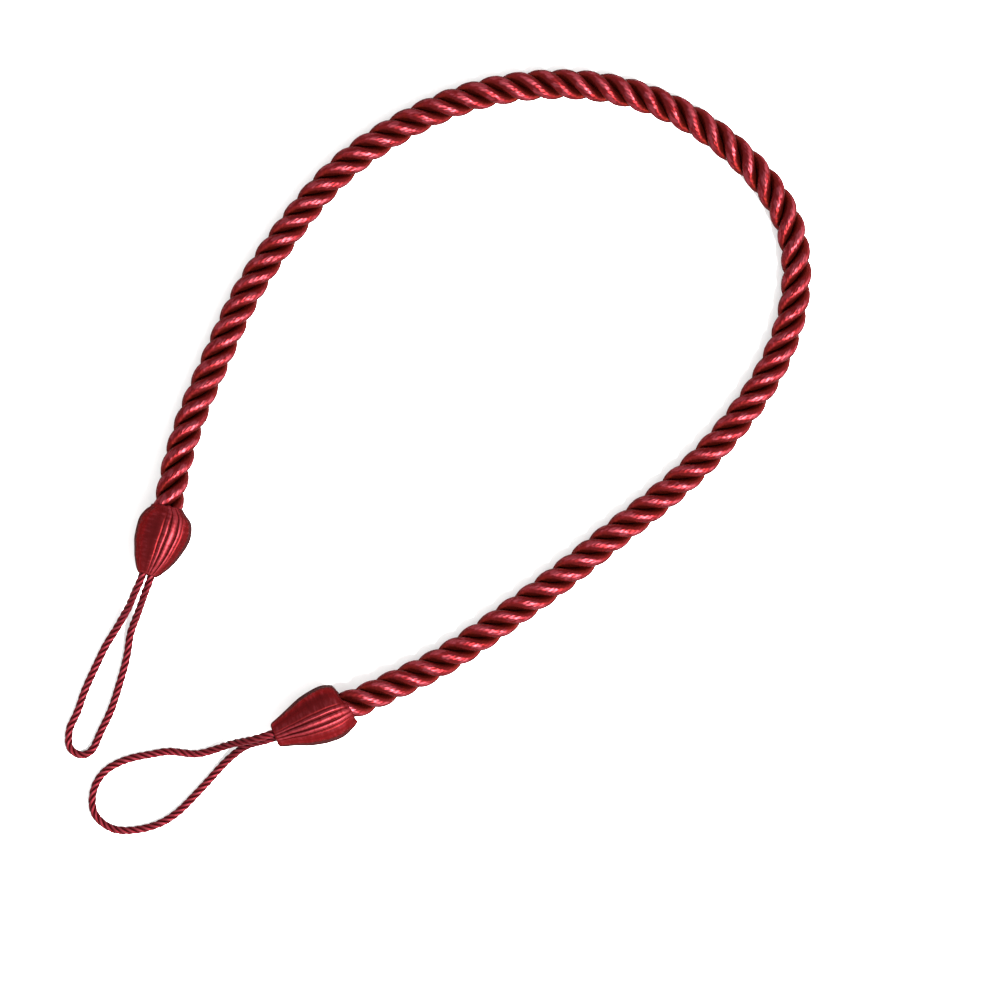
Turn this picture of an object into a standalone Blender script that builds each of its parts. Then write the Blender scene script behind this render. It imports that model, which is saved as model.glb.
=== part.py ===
"""A rope curtain tieback, laid in an open curve on a flat surface.

A thick rope of three strands ends in two bell-shaped caps, and a loop of thin cord comes out of the narrow end of
each cap. The surface is z = 0, +X and +Y run along it, and the origin is under the middle of the whole tieback.
Sizes and places are in millimetres, and they become metres where a mesh is made.
"""

import math
from typing import NamedTuple

import bmesh
import bpy
import numpy as np
from mathutils import Vector

MM = 0.001
ROPE_PLY = 3  # strands in the rope
CORD_PLY = 4  # and in the thin cord
SURFACE_Z = 0.0

# The rope: a strand's crest, its shoulders and the valley between two strands, measured from the rope's middle
ROPE_CREST = 6.1
ROPE_SHOULDER = 5.1
ROPE_VALLEY = 3.2
ROPE_LEAD = 28.2  # one whole turn of a strand, right-handed
ROPE_RINGS_PER_LEAD = 12
ROPE_LIES = ROPE_CREST - 0.45  # its middle, where its own weight presses its underside flat

# The thin cord of the two loops
CORD_CREST = 1.6
CORD_VALLEY = 1.28
CORD_LEAD = 12.6
CORD_RINGS_PER_LEAD = 10
CORD_LIES = CORD_CREST - 0.08

# The caps, and the pockets that the rope and the cord go into
CAP_COLUMNS = 48
ROPE_POCKET_RADIUS = 6.5
ROPE_POCKET_DEPTH = 3.6
CORD_POCKET_RADIUS = 3.7
CORD_POCKET_DEPTH = 2.4
FOLD_DEPTH = 0.45
FOLD_FADE = 0.7  # the part of a fold's depth that is lost at the mouth and at the narrow end
PETAL_HALF_WIDTH = 15  # degrees

STEPS_BETWEEN_POINTS = 60  # along a route, before it is spaced evenly

CRIMSON = (0.30, 0.008, 0.022, 1.0)
CORD_CRIMSON = (0.26, 0.008, 0.022, 1.0)

# The rope's middle line as it lies, from inside the left cap to inside the right one: x, y and height
ROPE_ROUTE = [
    (-108.7, -24.8, 10.1),
    (-107.5, -20.7, 9.8),
    (-105.0, -9.0, 8.8),
    (-101.0, 6.0, 7.1),
    (-96.0, 20.0, 6.1),
    (-89.5, 35.0, ROPE_LIES),
    (-76.5, 63.0, ROPE_LIES),
    (-60.0, 88.0, ROPE_LIES),
    (-40.0, 111.5, ROPE_LIES),
    (-16.5, 128.5, ROPE_LIES),
    (11.0, 141.0, ROPE_LIES),
    (40.5, 146.5, ROPE_LIES),
    (71.0, 144.5, ROPE_LIES),
    (98.0, 134.5, ROPE_LIES),
    (122.5, 116.5, ROPE_LIES),
    (139.5, 92.5, ROPE_LIES),
    (142.5, 62.0, ROPE_LIES),
    (134.0, 35.0, ROPE_LIES),
    (117.0, 9.5, ROPE_LIES),
    (96.0, -12.5, ROPE_LIES),
    (72.5, -31.5, ROPE_LIES),
    (50.0, -49.5, ROPE_LIES),
    (25.5, -67.5, ROPE_LIES),
    (0.0, -84.5, 6.0),
    (-14.0, -91.5, 7.1),
    (-21.5, -95.0, 8.2),
    (-29.0, -98.5, 9.4),
    (-37.0, -101.7, 10.4),
    (-40.0, -102.9, 10.6),
]

# The left loop's middle line, from inside the left cap, round and back into it
LEFT_LOOP_ROUTE = [
    (-116.9, -46.3, 11.8),
    (-118.3, -50.5, 11.6),
    (-120.8, -56.0, 9.8),
    (-123.0, -60.8, 6.9),
    (-125.6, -65.5, 4.1),
    (-128.8, -71.0, 2.2),
    (-132.2, -76.4, CORD_LIES),
    (-136.5, -85.0, CORD_LIES),
    (-141.8, -97.0, CORD_LIES),
    (-145.0, -105.7, CORD_LIES),
    (-147.2, -110.5, CORD_LIES),
    (-147.7, -114.5, CORD_LIES),
    (-147.4, -117.5, CORD_LIES),
    (-145.4, -120.1, CORD_LIES),
    (-142.4, -121.1, CORD_LIES),
    (-139.4, -120.1, CORD_LIES),
    (-137.4, -117.7, CORD_LIES),
    (-135.8, -114.0, CORD_LIES),
    (-131.5, -105.0, CORD_LIES),
    (-128.2, -95.5, CORD_LIES),
    (-126.0, -88.0, CORD_LIES),
    (-124.2, -80.5, CORD_LIES),
    (-123.0, -73.0, 2.2),
    (-120.7, -66.5, 4.3),
    (-118.6, -61.0, 7.3),
    (-116.9, -56.4, 9.9),
    (-115.0, -51.6, 11.5),
    (-113.6, -47.3, 11.8),
]

# The right loop's middle line, from inside the right cap, round and back into it
RIGHT_LOOP_ROUTE = [
    (-63.7, -111.5, 13.3),
    (-68.0, -112.9, 13.2),
    (-73.5, -114.5, 11.4),
    (-78.0, -115.6, 8.8),
    (-82.5, -116.5, 5.8),
    (-86.6, -118.0, 3.3),
    (-91.0, -119.5, 1.9),
    (-96.5, -120.7, CORD_LIES),
    (-102.0, -120.3, CORD_LIES),
    (-108.0, -119.8, CORD_LIES),
    (-114.5, -120.8, CORD_LIES),
    (-121.4, -122.1, CORD_LIES),
    (-128.0, -124.4, CORD_LIES),
    (-133.5, -128.0, CORD_LIES),
    (-136.9, -133.0, CORD_LIES),
    (-138.2, -138.5, CORD_LIES),
    (-137.5, -144.0, CORD_LIES),
    (-134.0, -148.4, CORD_LIES),
    (-129.5, -150.8, CORD_LIES),
    (-122.0, -151.2, CORD_LIES),
    (-114.1, -149.6, CORD_LIES),
    (-106.0, -145.5, CORD_LIES),
    (-98.2, -138.3, CORD_LIES),
    (-90.5, -130.0, CORD_LIES),
    (-84.5, -123.5, 2.0),
    (-80.0, -119.6, 3.6),
    (-75.7, -117.0, 6.1),
    (-71.3, -115.7, 8.5),
    (-67.3, -114.6, 10.1),
    (-62.9, -113.1, 10.2),
]


class Cap(NamedTuple):
    """The sizes of one cap. Its angles are in degrees, from its side over its top."""

    mouth: tuple  # the middle of the mouth
    end: tuple  # the middle of the narrow end
    rings: list  # distance from the mouth, radius and sideways shift of each ring
    slant: float  # how much further the rim reaches on the side at 0 degrees
    petal_angle: float
    petal_reach: float
    petal_flare: float
    folds: tuple  # the grooves between its bundles of thread


LEFT_CAP = Cap(
    mouth=(-107.8, -21.8, 9.8),
    end=(-115.8, -48.8, 11.8),
    rings=[
        (0.0, 6.9, 0.3),
        (1.2, 7.3, 0.7),
        (3.0, 8.5, 1.3),
        (5.5, 9.9, 1.4),
        (8.0, 10.75, 1.1),
        (10.5, 11.0, 0.8),
        (13.5, 10.7, 0.7),
        (16.5, 9.9, 0.6),
        (19.5, 8.85, 0.5),
        (22.3, 7.6, 0.3),
        (25.0, 6.2, 0.1),
        (26.9, 5.0, 0.0),
        (28.2, 4.2, 0.0),
    ],
    slant=0.5,
    petal_angle=0,
    petal_reach=0.4,
    petal_flare=0.2,
    folds=(15, 37.5, 52.5, 60, 75, 82.5, 105, 142.5, 187.5, 225, 315, 337.5),
)
RIGHT_CAP = Cap(
    mouth=(-37.0, -101.7, 10.45),
    end=(-65.0, -113.0, 11.8),
    rings=[
        (0.0, 6.95, 0.0),
        (0.9, 8.2, 0.0),
        (2.1, 9.7, 0.0),
        (3.6, 10.6, 0.0),
        (5.7, 11.15, 0.0),
        (8.2, 11.25, 0.1),
        (11.0, 11.0, 0.1),
        (14.0, 10.4, 0.1),
        (17.5, 9.5, 0.3),
        (21.0, 8.35, 0.5),
        (24.5, 7.1, 0.5),
        (27.8, 5.7, 0.3),
        (30.1, 4.5, 0.1),
    ],
    slant=-1.2,
    petal_angle=7.5,
    petal_reach=2.4,
    petal_flare=1.2,
    folds=(22.5, 52.5, 67.5, 75, 90, 97.5, 127.5, 165, 202.5, 232.5, 307.5, 337.5),
)


def clear_scene():
    """Removes every object that the file starts with."""
    for old in list(bpy.data.objects):
        bpy.data.objects.remove(old, do_unlink=True)


def satin(name, colour):
    """A satin thread finish."""
    finish = bpy.data.materials.new(name)
    finish.use_nodes = True
    shader = finish.node_tree.nodes["Principled BSDF"]
    shader.inputs["Base Color"].default_value = colour
    shader.inputs["Roughness"].default_value = 0.38
    shader.inputs["Metallic"].default_value = 0.0
    return finish


def add_object(name, mesh_maker, finish):
    """Turns a bmesh in millimetres into one smooth-shaded object in metres."""
    bmesh.ops.scale(mesh_maker, vec=(MM, MM, MM), verts=mesh_maker.verts)
    bmesh.ops.recalc_face_normals(mesh_maker, faces=mesh_maker.faces)
    mesh = bpy.data.meshes.new(name)
    mesh_maker.to_mesh(mesh)
    mesh_maker.free()
    mesh.shade_smooth()
    mesh.materials.append(finish)
    piece = bpy.data.objects.new(name, mesh)
    bpy.context.scene.collection.objects.link(piece)
    return piece


def join_rings(mesh_maker, near, far):
    """Faces between two rings of the same number of points, split along the way that a strand turns."""
    for i, corner in enumerate(near):
        after = (i + 1) % len(near)
        mesh_maker.faces.new((near[after], far[after], far[i], corner))


def close_ring(mesh_maker, ring, centre):
    """A fan of faces that closes the open end of a ring."""
    middle = mesh_maker.verts.new(centre)
    for i, corner in enumerate(ring):
        mesh_maker.faces.new((corner, ring[(i + 1) % len(ring)], middle))


def spline_bends(points, gaps):
    """The second derivatives, at a route's points, of the natural cubic curve through them."""
    count = len(points)
    system = np.eye(count)
    target = np.zeros_like(points)
    for i in range(1, count - 1):
        system[i, i - 1 : i + 2] = gaps[i - 1], 2 * (gaps[i - 1] + gaps[i]), gaps[i]
        target[i] = 6 * ((points[i + 1] - points[i]) / gaps[i] - (points[i] - points[i - 1]) / gaps[i - 1])
    return np.linalg.solve(system, target)


def smooth_line(route, step):
    """Points about a step apart on the smooth curve through a route, and how far along it each of them is."""
    points = np.array(route, float)
    gaps = np.linalg.norm(np.diff(points, axis=0), axis=1)
    bends = spline_bends(points, gaps)
    fine = []
    for i, gap in enumerate(gaps):
        for along in np.linspace(0.0, gap, STEPS_BETWEEN_POINTS, endpoint=False):
            back = gap - along
            curve = (bends[i] * back**3 + bends[i + 1] * along**3) / (6 * gap)
            near = (points[i] / gap - bends[i] * gap / 6) * back
            far = (points[i + 1] / gap - bends[i + 1] * gap / 6) * along
            fine.append(curve + near + far)
    fine = np.array(fine + [points[-1]])
    travelled = np.concatenate([[0.0], np.cumsum(np.linalg.norm(np.diff(fine, axis=0), axis=1))])
    stations = np.linspace(0.0, travelled[-1], round(travelled[-1] / step) + 1)
    line = np.stack([np.interp(stations, travelled, fine[:, k]) for k in range(3)], axis=1)
    return line, stations


def twisted_cord(name, route, ply, section, lead, rings_per_lead, finish):
    """A closed cord whose lobed section turns right-handed as it follows the route.

    The section is a list of (angle, radius) for one strand. Its underside is pressed flat on the surface.
    """
    line, stations = smooth_line(route, lead / rings_per_lead)
    headings = np.gradient(line, axis=0)
    mesh_maker = bmesh.new()
    rings = []
    for centre, heading, station in zip(line, headings, stations, strict=True):
        ahead = Vector(heading).normalized()
        across = Vector((0, 0, 1)).cross(ahead).normalized()
        up = ahead.cross(across)
        ring = []
        for strand in range(ply):
            for angle, radius in section:
                turn = math.radians(angle) + math.tau * (strand / ply + station / lead)
                point = Vector(centre) + radius * (math.cos(turn) * across + math.sin(turn) * up)
                point.z = max(point.z, SURFACE_Z)
                ring.append(mesh_maker.verts.new(point))
        rings.append(ring)
    for near, far in zip(rings, rings[1:]):
        join_rings(mesh_maker, near, far)
    close_ring(mesh_maker, rings[0], line[0])
    close_ring(mesh_maker, rings[-1], line[-1])
    return add_object(name, mesh_maker, finish)


def rope_section():
    """One strand of the rope's section: valley, shoulder, a broad crest and the other shoulder."""
    rise = [(-60, ROPE_VALLEY), (-39, ROPE_SHOULDER), (-11, ROPE_CREST)]
    return rise + [(11, ROPE_CREST), (39, ROPE_SHOULDER)]


def cord_section():
    """One strand of the thin cord's section: valley and crest."""
    return [(-45, CORD_VALLEY), (0, CORD_CREST)]


def petal_share(cap, angle):
    """How much of the petal stands at an angle: 1 at its middle and 0 past its edges."""
    away = abs((angle - cap.petal_angle + 180) % 360 - 180)
    return max(0.0, 1.0 - away / PETAL_HALF_WIDTH)


def fold_depth(cap, angle, share):
    """How deep the cap is grooved at an angle, a share of the way from its mouth to its narrow end."""
    if angle not in cap.folds:
        return 0.0
    return FOLD_DEPTH * (1 - FOLD_FADE * (2 * share - 1) ** 2)


def cap_ring(mesh_maker, cap, radius, along, shift=0.0, rim=False, folded=False):
    """One ring of points round a cap. A rim's ring slants and carries the petal."""
    mouth = Vector(cap.mouth)
    length = (Vector(cap.end) - mouth).length
    axis = (Vector(cap.end) - mouth).normalized()
    side = Vector((0, 0, 1)).cross(axis).normalized()
    up = axis.cross(side)
    corners = []
    for column in range(CAP_COLUMNS):
        angle = column * 360 / CAP_COLUMNS
        turn = math.radians(angle)
        reach, station = radius, along
        if rim:
            reach += cap.petal_flare * petal_share(cap, angle)
            station -= cap.slant * math.cos(turn) + cap.petal_reach * petal_share(cap, angle)
        if folded:
            reach -= fold_depth(cap, angle, along / length)
        point = mouth + axis * station
        point += side * (reach * math.cos(turn) + shift) + up * (reach * math.sin(turn))
        point.z = max(point.z, SURFACE_Z)
        corners.append(mesh_maker.verts.new(point))
    return corners


def covered_cap(name, cap, finish):
    """A closed bell with lengthwise folds, a pocket for the rope in its mouth and one for the cord in its end."""
    mouth = Vector(cap.mouth)
    length = (Vector(cap.end) - mouth).length
    axis = (Vector(cap.end) - mouth).normalized()
    cord_floor = length - CORD_POCKET_DEPTH
    mesh_maker = bmesh.new()
    rings = [
        cap_ring(mesh_maker, cap, ROPE_POCKET_RADIUS, ROPE_POCKET_DEPTH),
        cap_ring(mesh_maker, cap, ROPE_POCKET_RADIUS, 0.0, rim=True),
    ]
    for number, (along, radius, shift) in enumerate(cap.rings):
        rings.append(cap_ring(mesh_maker, cap, radius, along, shift, rim=number == 0, folded=number > 0))
    rings.append(cap_ring(mesh_maker, cap, CORD_POCKET_RADIUS, length))
    rings.append(cap_ring(mesh_maker, cap, CORD_POCKET_RADIUS, cord_floor))
    for near, far in zip(rings, rings[1:]):
        join_rings(mesh_maker, near, far)
    close_ring(mesh_maker, rings[0], mouth + axis * ROPE_POCKET_DEPTH)
    close_ring(mesh_maker, rings[-1], mouth + axis * cord_floor)
    return add_object(name, mesh_maker, finish)


def build_tieback():
    """The five pieces of the tieback."""
    clear_scene()
    rope_finish = satin("satin_rope", CRIMSON)
    cap_finish = satin("satin_cap", CRIMSON)
    cord_finish = satin("thin_cord", CORD_CRIMSON)
    twisted_cord("rope", ROPE_ROUTE, ROPE_PLY, rope_section(), ROPE_LEAD, ROPE_RINGS_PER_LEAD, rope_finish)
    covered_cap("cap_left", LEFT_CAP, cap_finish)
    covered_cap("cap_right", RIGHT_CAP, cap_finish)
    for name, route in (("loop_left", LEFT_LOOP_ROUTE), ("loop_right", RIGHT_LOOP_ROUTE)):
        twisted_cord(name, route, CORD_PLY, cord_section(), CORD_LEAD, CORD_RINGS_PER_LEAD, cord_finish)


build_tieback()
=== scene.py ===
"""The looks of a rope curtain tieback that lies in an open curve on a pale surface.

A thick three-strand satin rope ends in two satin-covered caps, and each cap holds a loop of
thin twisted cord. Everything is in metres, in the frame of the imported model: the surface is
z = 0 and +Y runs up the picture.
"""

import logging
import math
from dataclasses import dataclass
from enum import Enum

import bpy
import numpy as np
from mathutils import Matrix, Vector


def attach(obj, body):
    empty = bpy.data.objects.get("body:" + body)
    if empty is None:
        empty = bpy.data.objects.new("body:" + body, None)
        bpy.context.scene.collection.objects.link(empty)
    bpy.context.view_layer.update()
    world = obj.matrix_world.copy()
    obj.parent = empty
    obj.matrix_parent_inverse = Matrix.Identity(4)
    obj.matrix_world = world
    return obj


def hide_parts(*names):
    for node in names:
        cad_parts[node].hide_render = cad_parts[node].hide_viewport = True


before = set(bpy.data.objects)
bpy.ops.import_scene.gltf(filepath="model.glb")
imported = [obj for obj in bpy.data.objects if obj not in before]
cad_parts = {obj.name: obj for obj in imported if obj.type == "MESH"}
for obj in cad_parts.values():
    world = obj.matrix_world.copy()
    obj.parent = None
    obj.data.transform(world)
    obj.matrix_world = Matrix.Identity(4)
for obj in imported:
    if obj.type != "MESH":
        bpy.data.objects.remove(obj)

LOG = logging.getLogger("tieback")
BODY = "root"

Point = tuple[float, float, float]
Colour = tuple[float, float, float, float]

SURFACE_Z = 0.0
ROPE_LIES = 0.00565  # the height of the rope's middle line where it lies on the surface
CORD_LIES = 0.00152  # the same for the thin cord

ROPE_ROUTE: list[Point] = [
    (-0.1087, -0.0248, 0.0101),
    (-0.1075, -0.0207, 0.0098),
    (-0.105, -0.009, 0.0088),
    (-0.101, 0.006, 0.0071),
    (-0.096, 0.02, 0.0061),
    (-0.0895, 0.035, ROPE_LIES),
    (-0.0765, 0.063, ROPE_LIES),
    (-0.06, 0.088, ROPE_LIES),
    (-0.04, 0.1115, ROPE_LIES),
    (-0.0165, 0.1285, ROPE_LIES),
    (0.011, 0.141, ROPE_LIES),
    (0.0405, 0.1465, ROPE_LIES),
    (0.071, 0.1445, ROPE_LIES),
    (0.098, 0.1345, ROPE_LIES),
    (0.1225, 0.1165, ROPE_LIES),
    (0.1395, 0.0925, ROPE_LIES),
    (0.1425, 0.062, ROPE_LIES),
    (0.134, 0.035, ROPE_LIES),
    (0.117, 0.0095, ROPE_LIES),
    (0.096, -0.0125, ROPE_LIES),
    (0.0725, -0.0315, ROPE_LIES),
    (0.05, -0.0495, ROPE_LIES),
    (0.0255, -0.0675, ROPE_LIES),
    (0.0, -0.0845, 0.006),
    (-0.014, -0.0915, 0.0071),
    (-0.0215, -0.095, 0.0082),
    (-0.029, -0.0985, 0.0094),
    (-0.037, -0.1017, 0.0104),
    (-0.04, -0.1029, 0.0106),
]
LEFT_LOOP_ROUTE: list[Point] = [
    (-0.1169, -0.0463, 0.0118),
    (-0.1183, -0.0505, 0.0116),
    (-0.1208, -0.056, 0.0098),
    (-0.123, -0.0608, 0.0069),
    (-0.1256, -0.0655, 0.0041),
    (-0.1288, -0.071, 0.0022),
    (-0.1322, -0.0764, CORD_LIES),
    (-0.1365, -0.085, CORD_LIES),
    (-0.1418, -0.097, CORD_LIES),
    (-0.145, -0.1057, CORD_LIES),
    (-0.1472, -0.1105, CORD_LIES),
    (-0.1477, -0.1145, CORD_LIES),
    (-0.1474, -0.1175, CORD_LIES),
    (-0.1454, -0.1201, CORD_LIES),
    (-0.1424, -0.1211, CORD_LIES),
    (-0.1394, -0.1201, CORD_LIES),
    (-0.1374, -0.1177, CORD_LIES),
    (-0.1358, -0.114, CORD_LIES),
    (-0.1315, -0.105, CORD_LIES),
    (-0.1282, -0.0955, CORD_LIES),
    (-0.126, -0.088, CORD_LIES),
    (-0.1242, -0.0805, CORD_LIES),
    (-0.123, -0.073, 0.0022),
    (-0.1207, -0.0665, 0.0043),
    (-0.1186, -0.061, 0.0073),
    (-0.1169, -0.0564, 0.0099),
    (-0.115, -0.0516, 0.0115),
    (-0.1136, -0.0473, 0.0118),
]
RIGHT_LOOP_ROUTE: list[Point] = [
    (-0.0637, -0.1115, 0.0133),
    (-0.068, -0.1129, 0.0132),
    (-0.0735, -0.1145, 0.0114),
    (-0.078, -0.1156, 0.0088),
    (-0.0825, -0.1165, 0.0058),
    (-0.0866, -0.118, 0.0033),
    (-0.091, -0.1195, 0.0019),
    (-0.0965, -0.1207, CORD_LIES),
    (-0.102, -0.1203, CORD_LIES),
    (-0.108, -0.1198, CORD_LIES),
    (-0.1145, -0.1208, CORD_LIES),
    (-0.1214, -0.1221, CORD_LIES),
    (-0.128, -0.1244, CORD_LIES),
    (-0.1335, -0.128, CORD_LIES),
    (-0.1369, -0.133, CORD_LIES),
    (-0.1382, -0.1385, CORD_LIES),
    (-0.1375, -0.144, CORD_LIES),
    (-0.134, -0.1484, CORD_LIES),
    (-0.1295, -0.1508, CORD_LIES),
    (-0.122, -0.1512, CORD_LIES),
    (-0.1141, -0.1496, CORD_LIES),
    (-0.106, -0.1455, CORD_LIES),
    (-0.0982, -0.1383, CORD_LIES),
    (-0.0905, -0.13, CORD_LIES),
    (-0.0845, -0.1235, 0.002),
    (-0.08, -0.1196, 0.0036),
    (-0.0757, -0.117, 0.0061),
    (-0.0713, -0.1157, 0.0085),
    (-0.0673, -0.1146, 0.0101),
    (-0.0629, -0.1131, 0.0102),
]


class YarnLay(Enum):
    """How the fine yarn runs on a strand: its angle from straight round the strand."""

    ALONG_THE_ROPE = math.radians(33)
    SPUN = math.radians(68)


def placed(name: str, data: bpy.types.ID) -> bpy.types.Object:
    """Makes an object and links it to the scene.

    Args:
        name: The object's name.
        data: Its mesh, curve, camera or light.

    Returns:
        The object, at the origin.
    """
    item = bpy.data.objects.new(name, data)
    bpy.context.scene.collection.objects.link(item)
    return item


class Graph:
    """Adds nodes to one node tree and joins their sockets."""

    def __init__(self, tree: bpy.types.NodeTree) -> None:
        """Starts on a tree and empties it.

        Args:
            tree: The tree to fill.
        """
        self.tree = tree
        tree.nodes.clear()

    def feed(self, socket: bpy.types.NodeSocket, value: object) -> None:
        """Joins a socket to another one, or sets its own value.

        Args:
            socket: The input to feed.
            value: An output socket of another node, or a plain value.
        """
        if isinstance(value, bpy.types.NodeSocket):
            self.tree.links.new(value, socket)
        else:
            socket.default_value = value

    def add(
        self, kind: str, inputs: dict[str | int, object] | None = None, **settings: object
    ) -> bpy.types.Node:
        """Adds one node.

        Args:
            kind: Blender's name of the node type.
            inputs: What feeds its inputs, by their names or numbers.
            settings: The node's own options.

        Returns:
            The new node.
        """
        node = self.tree.nodes.new(kind)
        for option, value in settings.items():
            setattr(node, option, value)
        for key, value in (inputs or {}).items():
            self.feed(node.inputs[key], value)
        return node

    def math(self, operation: str, *values: object) -> bpy.types.NodeSocket:
        """Adds a sum on single numbers.

        Args:
            operation: The name of the sum, such as ADD.
            values: Sockets or numbers, in order.

        Returns:
            The socket that holds the result.
        """
        return self.add("ShaderNodeMath", dict(enumerate(values)), operation=operation).outputs[0]

    def vector(self, operation: str, *values: object) -> bpy.types.NodeSocket:
        """Adds a sum on vectors.

        Args:
            operation: The name of the sum, such as CROSS_PRODUCT.
            values: Sockets or triples, in order.

        Returns:
            The socket that holds the resulting vector.
        """
        node = self.add("ShaderNodeVectorMath", dict(enumerate(values)), operation=operation)
        return node.outputs["Vector"]

    def scaled(self, vector: bpy.types.NodeSocket, factor: object) -> bpy.types.NodeSocket:
        """A vector times a number.

        Args:
            vector: The vector to scale.
            factor: A socket or a number.

        Returns:
            The socket that holds the scaled vector.
        """
        node = self.add("ShaderNodeVectorMath", {0: vector}, operation="SCALE")
        self.feed(node.inputs["Scale"], factor)
        return node.outputs["Vector"]

    def blend(self, share: object, none: object, full: object) -> bpy.types.NodeSocket:
        """A mix of two colours.

        Args:
            share: How much of the second colour there is, from 0 to 1.
            none: The first colour.
            full: The second colour.

        Returns:
            The socket that holds the mixed colour.
        """
        mix = self.add("ShaderNodeMix", data_type="RGBA", clamp_factor=True)
        for name, value in (("Factor", share), ("A", none), ("B", full)):
            self.feed(next(s for s in mix.inputs if s.name == name and s.enabled), value)
        return next(s for s in mix.outputs if s.enabled)

    def spread(
        self, value: object, low: float, high: float, clamp: bool = True
    ) -> bpy.types.NodeSocket:
        """Stretches a range of values over 0 to 1.

        Args:
            value: The value to stretch.
            low: What becomes 0.
            high: What becomes 1.
            clamp: Whether the result stays between 0 and 1.

        Returns:
            The socket that holds the result.
        """
        return self.add("ShaderNodeMapRange", {0: value, 1: low, 2: high}, clamp=clamp).outputs[0]

    def noise(
        self, place: bpy.types.NodeSocket, layer: bpy.types.NodeSocket | None = None
    ) -> bpy.types.NodeSocket:
        """A soft uneven value between 0 and 1.

        Args:
            place: Where it is read.
            layer: Which of many such patterns is read, if there is more than one.

        Returns:
            The socket that holds the value.
        """
        inputs = {"Vector": place, "Scale": 1.0, "Detail": 2.0}
        if layer is None:
            return self.add("ShaderNodeTexNoise", inputs).outputs["Fac"]
        # The input for the layer is there only once the node has been told of it
        node = self.add("ShaderNodeTexNoise", {**inputs, "W": layer}, noise_dimensions="4D")
        return node.outputs["Fac"]


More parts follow.
